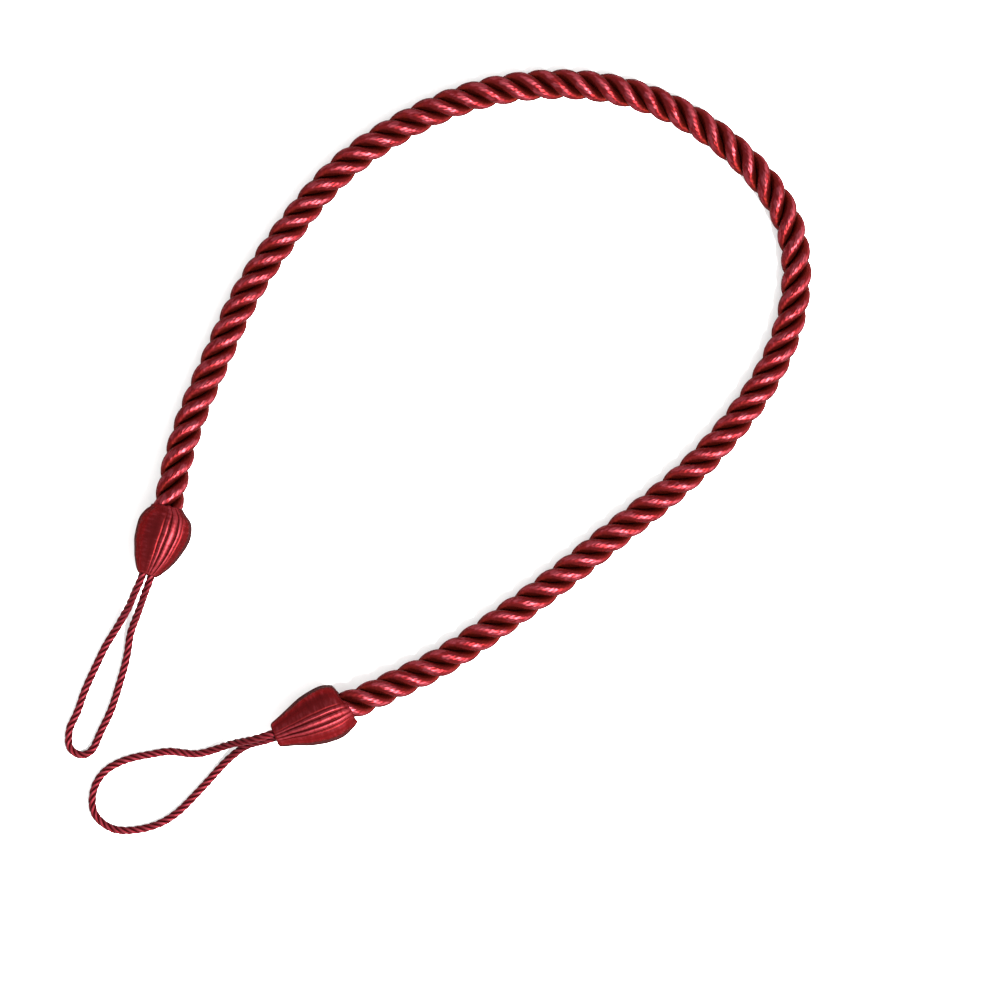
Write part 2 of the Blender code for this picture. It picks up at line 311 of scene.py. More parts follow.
@dataclass(frozen=True)
class SatinThread:
    """A satin finish that reads a piece's UV map: u runs across the threads and v along them.

    The dye is read from the attribute crest, which is 1 on a strand's or a fold's top: painted
    shade darkens it towards the hollows and a painted highlight pales it on the crests.
    """

    name: str
    crest: Colour
    # the colour of the hollows: the dye darkened by painted shade
    hollow_shade: Colour
    painted_highlight: Colour  # a painted highlight, the palest and pinkest colour, right on the crests
    pitch: float  # from one thread to the next
    thread_height: float
    roughness: float
    anisotropy: float
    metallic: float = 0.92
    specular: float = 0.1
    specular_tint: Colour = (0.12, 0.03, 0.035, 1.0)
    coat: float = 0.0
    coat_roughness: float = 0.3
    dark_below: float = 0.35  # the height that has the colour of the hollows, the dye in full painted shade
    full_above: float = 0.95  # the height that has the crest's dye, free of painted shade
    painted_highlight_from: float = 0.9  # the height where the painted highlight starts
    painted_highlight_drift: float = 0.8  # how far the uneven dye moves that start
    dye_drift: float = 0.6  # how uneven the dye is
    dye_threads: float = 2.0  # how many threads take the dye alike
    dye_changes: float = 200.0  # in a metre of thread
    waver: float = 1.4  # how far the threads waver sideways, in threads
    waver_threads: float = 5.0  # how many threads waver together
    waver_changes: float = 220.0  # in a metre of thread
    lie: float = 1.1  # how much each thread rises and sinks along its length
    lie_length: float = 0.0026  # of one rise and fall

    def build(self) -> bpy.types.Material:
        """Makes the material.

        Returns:
            The finished material.
        """
        material = bpy.data.materials.new(self.name)
        material.use_nodes = True
        graph = Graph(material.node_tree)
        threads = graph.add("ShaderNodeUVMap", uv_map="UVMap").outputs["UV"]
        along = graph.add("ShaderNodeTangent", direction_type="UV_MAP", uv_map="UVMap").outputs[0]
        shader = graph.add(
            "ShaderNodeBsdfPrincipled",
            {
                "Base Color": self.colour(graph, threads),
                "Metallic": self.metallic,
                "Roughness": self.roughness,
                "Anisotropic": self.anisotropy,
                "Specular IOR Level": self.specular,
                "Specular Tint": self.specular_tint,
                "Coat Weight": self.coat,
                "Coat Roughness": self.coat_roughness,
                "Normal": self.relief(graph, threads),
                "Tangent": along,
            },
        )
        graph.add("ShaderNodeOutputMaterial", {"Surface": shader.outputs[0]})
        return material

    def colour(self, graph: Graph, threads: bpy.types.NodeSocket) -> bpy.types.NodeSocket:
        """The dye, a little uneven between threads, with painted shade deepening it in the hollows
        and a painted highlight paling it on the crests.

        Args:
            graph: The material's nodes.
            threads: The UV map.

        Returns:
            The socket that holds the colour.
        """
        height = graph.add("ShaderNodeAttribute", attribute_name="crest").outputs["Fac"]
        share = graph.spread(height, self.dark_below, self.full_above, clamp=False)
        stretch = (1 / (self.dye_threads * self.pitch), self.dye_changes, 1.0)
        uneven = graph.noise(graph.vector("MULTIPLY", threads, stretch))
        drift = graph.math("MULTIPLY", graph.math("SUBTRACT", uneven, 0.5), self.dye_drift)
        # painted shade: the dye darkens towards the hollows
        shaded_dye = graph.blend(graph.math("ADD", share, drift), self.hollow_shade, self.crest)
        # painted highlight: paler and pinker where the crest is highest
        highlight_height = graph.math("MULTIPLY_ADD", drift, self.painted_highlight_drift, height)
        return graph.blend(graph.spread(highlight_height, self.painted_highlight_from, 1.0), shaded_dye, self.painted_highlight)

    def relief(self, graph: Graph, threads: bpy.types.NodeSocket) -> bpy.types.NodeSocket:
        """The fine threads side by side, each a small round ridge that lies its own way.

        Args:
            graph: The material's nodes.
            threads: The UV map.

        Returns:
            The socket that holds the bent normal.
        """
        parts = graph.add("ShaderNodeSeparateXYZ", {0: threads})
        stretch = (1 / (self.waver_threads * self.pitch), self.waver_changes, 1.0)
        drift = graph.noise(graph.vector("MULTIPLY", threads, stretch))
        straight = graph.math("DIVIDE", parts.outputs["X"], self.pitch)
        count = graph.math("ADD", straight, graph.math("MULTIPLY", drift, self.waver))
        from_middle = graph.math("SUBTRACT", graph.math("FRACT", count), 0.5)
        squared = graph.math("MULTIPLY", from_middle, from_middle)
        ridge = graph.math("SUBTRACT", 1.0, graph.math("MULTIPLY", 4.0, squared))
        thread = graph.math("FLOOR", count)
        own = graph.add("ShaderNodeTexWhiteNoise", {"W": thread}, noise_dimensions="1D")
        phase = graph.math("MULTIPLY", own.outputs["Value"], math.tau)
        turned = graph.math("MULTIPLY", parts.outputs["Y"], math.tau / self.lie_length)
        sway = graph.math("SINE", graph.math("ADD", turned, phase))
        lie = graph.math("MULTIPLY", sway, self.lie)
        height = graph.math("MULTIPLY", ridge, graph.math("ADD", 1.0, lie))
        heights = {"Height": height, "Distance": self.thread_height, "Strength": 1.0}
        return graph.add("ShaderNodeBump", heights).outputs["Normal"]


@dataclass(frozen=True)
class PaleSurface:
    """The plain pale surface that the tieback lies on."""

    name: str = "pale_surface"
    colour: Colour = (0.8, 0.8, 0.795, 1.0)
    roughness: float = 0.9
    specular: float = 0.1

    def build(self) -> bpy.types.Material:
        """Makes the material.

        Returns:
            The finished material.
        """
        material = bpy.data.materials.new(self.name)
        material.use_nodes = True
        shader = material.node_tree.nodes["Principled BSDF"]
        shader.inputs["Base Color"].default_value = self.colour
        shader.inputs["Roughness"].default_value = self.roughness
        shader.inputs["Specular IOR Level"].default_value = self.specular
        return material


@dataclass
class Studio:
    """The camera straight above, the pale floor and the soft lights. Angles are in degrees."""

    middle: tuple[float, float] = (0.02474, -0.01918)
    camera_height: float = 3.0
    picture_width: float = 0.4
    sensor: float = 36.0
    floor_half: float = 3.0
    floor_drop: float = 0.00005
    key_azimuth: float = -38.0
    key_elevation: float = 58.0
    key_distance: float = 2.2
    key_size: float = 0.6
    key_power: float = 385.0
    sky: float = 2.5
    sky_lean: float = 1.0
    sky_azimuth: float = -40.0
    overhead: float = 0.65
    overhead_from: float = 0.45  # the height in the sky, from 0 to 1, where it starts to dim
    overhead_full: float = 0.95  # and where it is dimmest

    def place_camera(self) -> None:
        """Hangs the camera over the middle of the picture."""
        lens = bpy.data.cameras.new("camera")
        lens.sensor_width = self.sensor
        lens.lens = self.sensor * self.camera_height / self.picture_width
        camera = placed("camera", lens)
        camera.location = (*self.middle, self.camera_height)
        bpy.context.scene.camera = camera

    def lay_floor(self) -> None:
        """Lays the surface just under the tieback."""
        low, high = -self.floor_half, self.floor_half
        height = SURFACE_Z - self.floor_drop
        corners = [(low, low), (high, low), (high, high), (low, high)]
        mesh = bpy.data.meshes.new("floor")
        mesh.from_pydata([(x, y, height) for x, y in corners], [], [(0, 1, 2, 3)])
        mesh.materials.append(PaleSurface().build())
        placed("floor", mesh)

    def hang_key(self) -> None:
        """Hangs one soft light on the right."""
        azimuth, elevation = math.radians(self.key_azimuth), math.radians(self.key_elevation)
        level = math.cos(elevation)
        across, up = level * math.cos(azimuth), level * math.sin(azimuth)
        towards = Vector((across, up, math.sin(elevation)))
        light = bpy.data.lights.new("key", "AREA")
        light.shape = "DISK"
        light.size = self.key_size
        light.energy = self.key_power
        key = placed("key", light)
        key.location = Vector((*self.middle, 0.0)) + towards * self.key_distance
        key.rotation_euler = towards.to_track_quat("Z", "Y").to_euler()

    def open_sky(self) -> None:
        """Sets a sky that is brighter to the lower right and dimmer straight above."""
        world = bpy.data.worlds.new("studio")
        world.use_nodes = True
        graph = Graph(world.node_tree)
        brighter = math.radians(self.sky_azimuth)
        side = (math.cos(brighter), math.sin(brighter), 0.0)
        direction = graph.add("ShaderNodeTexCoord").outputs["Generated"]
        dot = graph.add("ShaderNodeVectorMath", {0: direction, 1: side}, operation="DOT_PRODUCT")
        height = graph.add("ShaderNodeSeparateXYZ", {0: direction}).outputs["Z"]
        dimming = {0: height, 1: self.overhead_from, 2: self.overhead_full}
        dim = graph.add("ShaderNodeMapRange", {**dimming, 3: 1.0, 4: self.overhead}).outputs[0]
        lit = graph.math("MULTIPLY_ADD", dot.outputs["Value"], self.sky_lean, self.sky)
        strength = graph.math("MULTIPLY", lit, dim)
        white = {"Color": (1.0, 1.0, 1.0, 1.0), "Strength": strength}
        sky = graph.add("ShaderNodeBackground", white)
        graph.add("ShaderNodeOutputWorld", {"Surface": sky.outputs[0]})
        bpy.context.scene.world = world

    def build(self) -> None:
        """Sets up the whole studio."""
        self.place_camera()
        self.lay_floor()
        self.hang_key()
        self.open_sky()
        bpy.context.scene.view_settings.view_transform = "Standard"
        LOG.info(
            "studio: camera %.2f m up, picture %.2f m wide", self.camera_height, self.picture_width
        )


def spline_bends(points: np.ndarray, gaps: np.ndarray) -> np.ndarray:
    """Works out how the natural cubic curve through some points bends at each of them.

    Args:
        points: The points, one a row.
        gaps: The straight distance from each point to the next.

    Returns:
        The second derivatives at the points.
    """
    count = len(points)
    system = np.eye(count)
    target = np.zeros_like(points)
    slopes = np.diff(points, axis=0) / gaps[:, None]
    for i in range(1, count - 1):
        system[i, i - 1 : i + 2] = gaps[i - 1], 2 * (gaps[i - 1] + gaps[i]), gaps[i]
        target[i] = 6 * (slopes[i] - slopes[i - 1])
    return np.linalg.solve(system, target)


def smooth_line(route: list[Point], step: float, steps_between: int = 60) -> np.ndarray:
    """Follows the natural cubic curve through a route.

    Args:
        route: The points that the curve goes through.
        step: About how far apart the new points are.
        steps_between: How finely the curve is followed between two points of the route.

    Returns:
        Evenly spaced points on the curve, one a row.
    """
    points = np.array(route, float)
    gaps = np.linalg.norm(np.diff(points, axis=0), axis=1)
    bends = spline_bends(points, gaps)
    fine = []
    for i, gap in enumerate(gaps):
        for along in np.linspace(0.0, gap, steps_between, endpoint=False):
            back = gap - along
            curve = (bends[i] * back**3 + bends[i + 1] * along**3) / (6 * gap)
            near = (points[i] / gap - bends[i] * gap / 6) * back
            far = (points[i + 1] / gap - bends[i + 1] * gap / 6) * along
            fine.append(curve + near + far)
    fine = np.array(fine + [points[-1]])
    travelled = distances(fine)
    stations = np.linspace(0.0, travelled[-1], round(travelled[-1] / step) + 1)
    return np.stack([np.interp(stations, travelled, fine[:, k]) for k in range(3)], axis=1)


def distances(line: np.ndarray) -> np.ndarray:
    """How far along a line of points each of them is, from 0 at the first."""
    return np.concatenate([[0.0], np.cumsum(np.linalg.norm(np.diff(line, axis=0), axis=1))])


def path_object(name: str, line: np.ndarray) -> bpy.types.Object:
    """Makes a curve object with one open spline through a line of points.

    Args:
        name: The object's name.
        line: The points.

    Returns:
        The curve object, linked to the scene.
    """
    curve = bpy.data.curves.new(name, "CURVE")
    curve.dimensions = "3D"
    spline = curve.splines.new("POLY")
    spline.points.add(len(line) - 1)
    spline.points.foreach_set("co", np.column_stack([line, np.ones(len(line))]).ravel())
    return placed(name, curve)


TWIST_SOCKETS = {
    "Plies": "NodeSocketInt",
    "Rings": "NodeSocketInt",
    "Points Around": "NodeSocketInt",
    "Seed": "NodeSocketInt",
    "Lead": "NodeSocketFloat",
    "Helix Radius": "NodeSocketFloat",
    "Strand Height": "NodeSocketFloat",
    "Strand Width": "NodeSocketFloat",
    "Yarn Angle": "NodeSocketFloat",
    "Unevenness": "NodeSocketFloat",
    "Uneven Length": "NodeSocketFloat",
    "End Taper": "NodeSocketFloat",
    "Surface": "NodeSocketFloat",
    "Material": "NodeSocketMaterial",
}
STRAND_SEED_STEP = 7.3  # how far apart the strands read their unevenness
SWELL_ROUND = 0.8  # how much the unevenness changes from one side of a strand to the other
WELD_DISTANCE = 1e-6


class TwistTree:
    """The Geometry Nodes tree that twists round strands along a path.

    Each strand starts as a flat sheet of squares, one column round the strand and one row along
    it. The tree bends every sheet into a tube that winds round the path, right-handed, and
    presses it flat on the surface.
    """

    def __init__(self) -> None:
        """Builds the tree."""
        self.tree = bpy.data.node_groups.new("twisted_strands", "GeometryNodeTree")
        face = self.tree.interface
        face.new_socket("Geometry", in_out="INPUT", socket_type="NodeSocketGeometry")
        face.new_socket("Geometry", in_out="OUTPUT", socket_type="NodeSocketGeometry")
        for name, kind in TWIST_SOCKETS.items():
            face.new_socket(name, in_out="INPUT", socket_type=kind)
        self.graph = Graph(self.tree)
        self.given = self.graph.add("NodeGroupInput").outputs
        self.fill()

    def socket_keys(self) -> dict[str, str]:
        """The identifier of each named input."""
        items = self.tree.interface.items_tree
        return {item.name: item.identifier for item in items if item.in_out == "INPUT"}

    def store(
        self, mesh: object, name: str, value: object, data_type: str, domain: str
    ) -> bpy.types.NodeSocket:
        """Keeps a value on the mesh under a name.

        Args:
            mesh: The mesh socket.
            name: The attribute's name.
            value: The value.
            data_type: The attribute's type.
            domain: Where it is kept.

        Returns:
            The socket that holds the mesh with the attribute.
        """
        kind = "GeometryNodeStoreNamedAttribute"
        node = self.graph.add(kind, data_type=data_type, domain=domain)
        for key, item in (("Geometry", mesh), ("Name", name), ("Value", value)):
            socket = next(s for s in node.inputs if s.name == key and s.enabled)
            self.graph.feed(socket, item)
        return node.outputs[0]

    def sheets(self) -> bpy.types.NodeSocket:
        """One sheet of squares for each strand, numbered by the attribute ply.

        Returns:
            The socket that holds the sheets.
        """
        graph, given = self.graph, self.given
        columns = graph.math("ADD", given["Points Around"], 1)
        size = {"Size X": 1.0, "Size Y": 1.0, "Vertices X": given["Rings"], "Vertices Y": columns}
        sheet = graph.add("GeometryNodeMeshGrid", size).outputs["Mesh"]
        count = {"Count": given["Plies"], "Offset": (0.0, 0.0, 0.0)}
        starts = graph.add("GeometryNodeMeshLine", count).outputs[0]
        index = graph.add("GeometryNodeInputIndex").outputs[0]
        numbered = self.store(starts, "ply", index, "FLOAT", "POINT")
        copies = {"Points": numbered, "Instance": sheet}
        laid = graph.add("GeometryNodeInstanceOnPoints", copies).outputs[0]
        return graph.add("GeometryNodeRealizeInstances", {0: laid}).outputs[0]

    def along_strand(
        self, station: bpy.types.NodeSocket, sine: bpy.types.NodeSocket
    ) -> bpy.types.NodeSocket:
        """How far along its own strand a point is, which is further than along the path.

        Args:
            station: How far along the path it is.
            sine: The sine of its place round the strand.

        Returns:
            The socket that holds the distance.
        """
        graph, given = self.graph, self.given
        circle = graph.math("MULTIPLY", given["Helix Radius"], math.tau)
        slope = graph.math("ARCTANGENT", graph.math("DIVIDE", circle, given["Lead"]))
        sideways = graph.math("MULTIPLY", given["Strand Width"], sine)
        lean = graph.math("MULTIPLY", sideways, graph.math("SINE", slope))
        straight = graph.math("DIVIDE", station, graph.math("COSINE", slope))
        return graph.math("ADD", straight, lean)

    def yarn_map(
        self, around: bpy.types.NodeSocket, on_strand: bpy.types.NodeSocket
    ) -> bpy.types.NodeSocket:
        """The UV map: u across the fine yarn and v along it, in metres.

        Args:
            around: The place round the strand, in radians.
            on_strand: How far along the strand it is.

        Returns:
            The socket that holds the map.
        """
        graph, given = self.graph, self.given
        both = graph.math("ADD", given["Strand Height"], given["Strand Width"])
        round_strand = graph.math("MULTIPLY", around, graph.math("MULTIPLY", both, 0.5))
        turn_cos = graph.math("COSINE", given["Yarn Angle"])
        turn_sin = graph.math("SINE", given["Yarn Angle"])
        across = graph.math(
            "ADD",
            graph.math("MULTIPLY", on_strand, turn_cos),
            graph.math("MULTIPLY", round_strand, turn_sin),
        )
        along = graph.math(
            "SUBTRACT",
            graph.math("MULTIPLY", round_strand, turn_cos),
            graph.math("MULTIPLY", on_strand, turn_sin),
        )
        return graph.add("ShaderNodeCombineXYZ", {"X": across, "Y": along, "Z": 0.0}).outputs[0]

    def strand_size(
        self,
        name: str,
        swell: bpy.types.NodeSocket,
        end_round: bpy.types.NodeSocket,
    ) -> bpy.types.NodeSocket:
        """Half the height or width of a strand, uneven along it and rounded off at its ends.

        Args:
            name: The input that holds the even size.
            swell: What the unevenness adds.
            end_round: How much of the size is left, from 0 to 1.

        Returns:
            The socket that holds the size.
        """
        uneven = self.graph.math("ADD", self.given[name], swell)
        return self.graph.math("MULTIPLY", uneven, end_round)

    def fill(self) -> None:
        """Adds the tree's nodes."""
        graph, given = self.graph, self.given
        path = given["Geometry"]
        length = graph.add("GeometryNodeCurveLength", {0: path}).outputs[0]
        position = graph.add("GeometryNodeInputPosition").outputs[0]
        place = graph.add("ShaderNodeSeparateXYZ", {0: position})
        station = graph.math("MULTIPLY", graph.math("ADD", place.outputs["X"], 0.5), length)
        around = graph.math("MULTIPLY", place.outputs["Y"], math.tau)
        cosine, sine = graph.math("COSINE", around), graph.math("SINE", around)
        ply_name = {"Name": "ply"}
        named = graph.add("GeometryNodeInputNamedAttribute", ply_name, data_type="FLOAT")
        ply = named.outputs["Attribute"]

        on_strand = self.along_strand(station, sine)
        # 1 on a strand's outer top, 0 deep between strands; the finish paints shade and a
        # highlight by it
        crest = graph.math("MULTIPLY", graph.math("ADD", cosine, 1.0), 0.5)
        threads = self.yarn_map(around, on_strand)
        mesh = self.store(self.sheets(), "UVMap", threads, "FLOAT2", "CORNER")
        mesh = self.store(mesh, "crest", crest, "FLOAT", "POINT")

        uneven_place = {
            "X": graph.math("DIVIDE", on_strand, given["Uneven Length"]),
            "Y": graph.math("MULTIPLY", cosine, SWELL_ROUND),
            "Z": graph.math("MULTIPLY", sine, SWELL_ROUND),
        }
        layer = graph.math("ADD", graph.math("MULTIPLY", ply, STRAND_SEED_STEP), given["Seed"])
        uneven = graph.noise(graph.add("ShaderNodeCombineXYZ", uneven_place).outputs[0], layer)
        swell = graph.math("MULTIPLY", graph.math("SUBTRACT", uneven, 0.5), given["Unevenness"])
        from_end = graph.math("MINIMUM", station, graph.math("SUBTRACT", length, station))
        end_share = graph.math("DIVIDE", from_end, given["End Taper"])
        end_share = graph.math("MAXIMUM", graph.math("MINIMUM", end_share, 1.0), 0.0)
        end_round = graph.math("SQRT", end_share)
        height = self.strand_size("Strand Height", swell, end_round)
        width = self.strand_size("Strand Width", swell, end_round)

        on_path = {"Curves": path, "Length": station}
        sample = graph.add("GeometryNodeSampleCurve", on_path, mode="LENGTH")
        ahead = sample.outputs["Tangent"]
        side = graph.vector("NORMALIZE", graph.vector("CROSS_PRODUCT", (0.0, 0.0, 1.0), ahead))
        up = graph.vector("CROSS_PRODUCT", ahead, side)
        strand_turn = graph.math("DIVIDE", ply, given["Plies"])
        twist_turn = graph.math("DIVIDE", station, given["Lead"])
        turn = graph.math("MULTIPLY", graph.math("ADD", strand_turn, twist_turn), math.tau)
        turn_cos, turn_sin = graph.math("COSINE", turn), graph.math("SINE", turn)
        outward = graph.vector("ADD", graph.scaled(side, turn_cos), graph.scaled(up, turn_sin))
        onward = graph.vector("SUBTRACT", graph.scaled(up, turn_cos), graph.scaled(side, turn_sin))
        out_by = graph.math("ADD", given["Helix Radius"], graph.math("MULTIPLY", height, cosine))
        on_by = graph.math("MULTIPLY", width, sine)
        offset = graph.vector("ADD", graph.scaled(outward, out_by), graph.scaled(onward, on_by))
        round_place = graph.vector("ADD", sample.outputs["Position"], offset)

        spot = graph.add("ShaderNodeSeparateXYZ", {0: round_place})
        pressed = graph.math("MAXIMUM", spot.outputs["Z"], given["Surface"])
        flattened = {"X": spot.outputs["X"], "Y": spot.outputs["Y"], "Z": pressed}
        lying = graph.add("ShaderNodeCombineXYZ", flattened).outputs[0]
        bent = graph.add("GeometryNodeSetPosition", {"Geometry": mesh, "Position": lying})
        weld = {"Geometry": bent.outputs[0], "Distance": WELD_DISTANCE}
        closed = graph.add("GeometryNodeMergeByDistance", weld)
        shading = {0: closed.outputs[0], "Shade Smooth": True}
        smooth = graph.add("GeometryNodeSetShadeSmooth", shading)
        real = graph.add("GeometryNodeRealizeInstances", {0: smooth.outputs[0]})
        dressing = {"Geometry": real.outputs[0], "Material": given["Material"]}
        finished = graph.add("GeometryNodeSetMaterial", dressing)
        graph.add("NodeGroupOutput", {0: finished.outputs[0]})


def plain_mesh(source: bpy.types.Object, name: str) -> bpy.types.Object:
    """Turns an object with a node modifier into a plain mesh, and removes the source.

    Args:
        source: The object with its modifier.
        name: The name of the new piece.

    Returns:
        The new piece at the origin, linked to the scene.
    """
    view = bpy.context.evaluated_depsgraph_get()
    shaped = source.evaluated_get(view)
    mesh = bpy.data.meshes.new_from_object(shaped, preserve_all_data_layers=True, depsgraph=view)
    mesh.name = name
    bpy.data.objects.remove(source, do_unlink=True)
    return placed(name, mesh)


@dataclass
class TwistedCord:
    """A cord of strands that are twisted round each other along a route."""

    name: str
    node: str
    slot: str
    route: list[Point]
    radius: float
    lead: float
    finish: bpy.types.Material
    tree: TwistTree
    yarn: YarnLay
    stiffness: str
    ring_step: float
    points_around: int
    unevenness: float
    uneven_length: float
    plies: int = 3
    seed: int = 1
    path_step: float = 0.0005
    path_every: int = 4  # of the path's points
    helix_share: float = 0.554  # of the radius: how far a strand's middle is from the path
    height_share: float = 0.446  # of the radius: half a strand's height
    width_share: float = 0.562  # of the radius: half a strand's width
    end_taper: float = 0.0012  # the length over which a strand's end is rounded off

    def sizes(self, length: float) -> dict[str, object]:
        """What each named input of the tree is set to.

        Args:
            length: The cord's length.

        Returns:
            The values by the inputs' names.
        """
        return {
            "Plies": self.plies,
            "Rings": round(length / self.ring_step),
            "Points Around": self.points_around,
            "Seed": self.seed,
            "Lead": self.lead,
            "Helix Radius": self.radius * self.helix_share,
            "Strand Height": self.radius * self.height_share,
            "Strand Width": self.radius * self.width_share,
            "Yarn Angle": self.yarn.value,
            "Unevenness": self.unevenness,
            "Uneven Length": self.uneven_length,
            "End Taper": self.end_taper,
            "Surface": SURFACE_Z,
            "Material": self.finish,
        }

    def build(self, ends: list[bpy.types.Object]) -> bpy.types.Object:
        """Makes the cord, hides the model's part and logs the cord's length.

        Args:
            ends: The separate pieces on it; not used.

        Returns:
            The cord's mesh object.
        """
        line = smooth_line(self.route, self.path_step)
        length = float(distances(line)[-1])
        source = path_object(self.name + "_path", line)
        modifier = source.modifiers.new("twist", "NODES")
        modifier.node_group = self.tree.tree
        keys = self.tree.socket_keys()
        for name, value in self.sizes(length).items():
            modifier[keys[name]] = value
        piece = plain_mesh(source, self.name)
        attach(piece, BODY)
        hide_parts(self.node)
        LOG.info("%s: %.1f mm long, %d faces", self.name, length * 1000, len(piece.data.polygons))
        return piece


@dataclass(frozen=True)
class Rib:
    """A lengthwise ridge of a cap, or a groove where its height is below 0.

    Angles are in degrees, 90 on top.
    """

    angle: float
    half_width: float
    height: float


@dataclass(frozen=True)
class RimLobe:
    """A place where a cap's rim stands further out over the rope."""

    angle: float
    half_width: float
    reach: float
    flare: float = 0.0
    flatness: float = 2.0


def bell(
    angles: np.ndarray, middle: float, half_width: float, flatness: float = 2.0
) -> np.ndarray:
    """A smooth hump round a circle.

    Args:
        angles: Where to work it out, in degrees.
        middle: The angle of its top, where it is 1.
        half_width: How far from its top it has fallen to about a third.
        flatness: 2 for a round top, and more for a flatter one with steeper sides.

    Returns:
        The height of the hump at each angle.
    """
    away = (angles - middle + 180.0) % 360.0 - 180.0
    return np.exp(-(np.abs(away / half_width) ** flatness))


@dataclass
class EndCap:
    """A bell-shaped cap, covered with satin that is gathered in lengthwise folds.

    A row of its profile is the distance from the mouth, the radius and the shift sideways.
    """

    name: str
    node: str
    slot: str
    mouth: Point
    end: Point
    profile: list[Point]
    slant: float
    ribs: list[Rib]
    lobes: list[RimLobe]
    finish: bpy.types.Material
    columns: int = 420
    ring_step: float = 0.0003
    rope_pocket: tuple[float, float] = (0.0065, 0.0036)  # its radius and depth
    cord_pocket: tuple[float, float] = (0.0037, 0.0024)
    lobe_length: float = 0.003  # how far from the mouth the slant and the lobes reach
    lip: float = 0.0002
    mean_radius: float = 0.009  # for the width of the UV map
    fold_spread: float = 1.25  # a fold's width where it is widest, as a share of its own
    fold_narrowing: float = 0.5  # how fast it narrows away from there
    fold_balance: float = 0.9  # below 1, folds are widest nearer to the mouth
    fold_fade: float = 0.72  # how much of a fold is gone at both ends
    even_crest: float = 0.9  # the crest height where there is no fold, which sets the painted shade and highlight
    full_fold: float = 0.0007  # the rise that would add 1 to that crest height

    def angles(self) -> np.ndarray:
        """The angle of each column, in degrees."""
        return np.arange(self.columns) * 360.0 / self.columns

    def relief(self, share: float) -> np.ndarray:
        """How far the folds stand out.

        Args:
            share: The part of the way from the mouth to the narrow end.

        Returns:
            The height at each column.
        """
        spread = self.fold_spread - self.fold_narrowing * abs(2 * share - self.fold_balance)
        height = np.zeros(self.columns)
        for rib in self.ribs:
            height += rib.height * bell(self.angles(), rib.angle, rib.half_width * spread)
        return height * (1.0 - self.fold_fade * abs(2 * share - 1) ** 3)

    def ring(
        self, along: float, radius: float, shift: float, relief: np.ndarray, rim: float
    ) -> np.ndarray:
        """One ring of points round the cap.

        Args:
            along: The distance from the mouth.
            radius: The ring's radius.
            shift: How far the ring is off the middle line, sideways.
            relief: What is added to the radius at each column.
            rim: How much of the slant and the lobes the ring has, from 0 to 1.

        Returns:
            The points, one a row.
        """
        mouth = np.array(self.mouth)
        axis = np.array(self.end) - mouth
        axis /= np.linalg.norm(axis)
        side = np.cross((0.0, 0.0, 1.0), axis)
        side /= np.linalg.norm(side)
        up = np.cross(axis, side)
        turn = np.radians(self.angles())
        station = along - rim * self.slant * np.cos(turn)
        reach = radius + relief
        for lobe in self.lobes:
            hump = bell(self.angles(), lobe.angle, lobe.half_width, lobe.flatness)
            station = station - rim * lobe.reach * hump
            reach = reach + rim * lobe.flare * hump
        across, over = reach * np.cos(turn) + shift, reach * np.sin(turn)
        points = mouth + station[:, None] * axis + across[:, None] * side + over[:, None] * up
        points[:, 2] = np.maximum(points[:, 2], SURFACE_Z)
        return points

    def rings(self) -> tuple[list[np.ndarray], list[np.ndarray]]:
        """Every ring from the floor of the rope's pocket to the floor of the cord's.

        Returns:
            The rings of points, and the relief that each of them has.
        """
        length = math.dist(self.mouth, self.end)
        flat = np.zeros(self.columns)
        pocket_radius, pocket_depth = self.rope_pocket
        rings, reliefs = [], []
        for along in (pocket_depth, pocket_depth / 2, self.lip):
            rim = float(along < pocket_depth / 2)
            rings.append(self.ring(along, pocket_radius, 0.0, flat, rim))
            reliefs.append(flat)
        for along, radius, shift in smooth_line(self.profile, self.ring_step):
            relief = self.relief(along / length)
            rim = max(0.0, 1.0 - along / self.lobe_length) ** 2
            rings.append(self.ring(along, radius, shift, relief, rim))
            reliefs.append(relief)
        cord_radius, cord_depth = self.cord_pocket
        narrow_end = (length + self.lip, cord_radius + self.lip)
        for along, radius in (narrow_end, (length - cord_depth, cord_radius)):
            rings.append(self.ring(along, radius, 0.0, flat, 0.0))
            reliefs.append(flat)
        return rings, reliefs

    def skin(self, rings: list[np.ndarray]) -> tuple[list[tuple], list[tuple]]:
        """Joins the rings into a closed skin. The middles of both ends are its last two points.

        Args:
            rings: The rings of points.

        Returns:
            The faces, and the UV map's place of each of their corners.
        """
        travelled = distances(np.array([ring[0] for ring in rings]))
        step = math.tau * self.mean_radius / self.columns
        faces, corners = [], []
        for row in range(len(rings) - 1):
            low, high = row * self.columns, (row + 1) * self.columns
            for column in range(self.columns):
                after = (column + 1) % self.columns
                faces.append((low + after, high + after, high + column, low + column))
                square = (row, column + 1), (row + 1, column + 1), (row + 1, column), (row, column)
                corners += [(travelled[u], v * step) for u, v in square]
        first = len(rings) * self.columns
        top = first - self.columns
        for column in range(self.columns):
            after = (column + 1) % self.columns
            faces.append((column, first, after))
            faces.append((top + after, first + 1, top + column))
            corners += [(0.0, column * step)] * 3 + [(travelled[-1], column * step)] * 3
        return faces, corners

    def build(self) -> bpy.types.Object:
        """Makes the cap, hides the model's part that it stands for and logs its faces.

        Returns:
            The cap's mesh object.
        """
        rings, reliefs = self.rings()
        middles = [ring.mean(axis=0)[None] for ring in (rings[0], rings[-1])]
        faces, corners = self.skin(rings)
        mesh = bpy.data.meshes.new(self.name)
        mesh.from_pydata(np.concatenate(rings + middles).tolist(), [], faces)
        uv_map = mesh.uv_layers.new(name="UVMap")
        uv_map.data.foreach_set("uv", np.array(corners, np.float32).ravel())
        heights = np.concatenate(reliefs + [np.zeros(len(middles))])
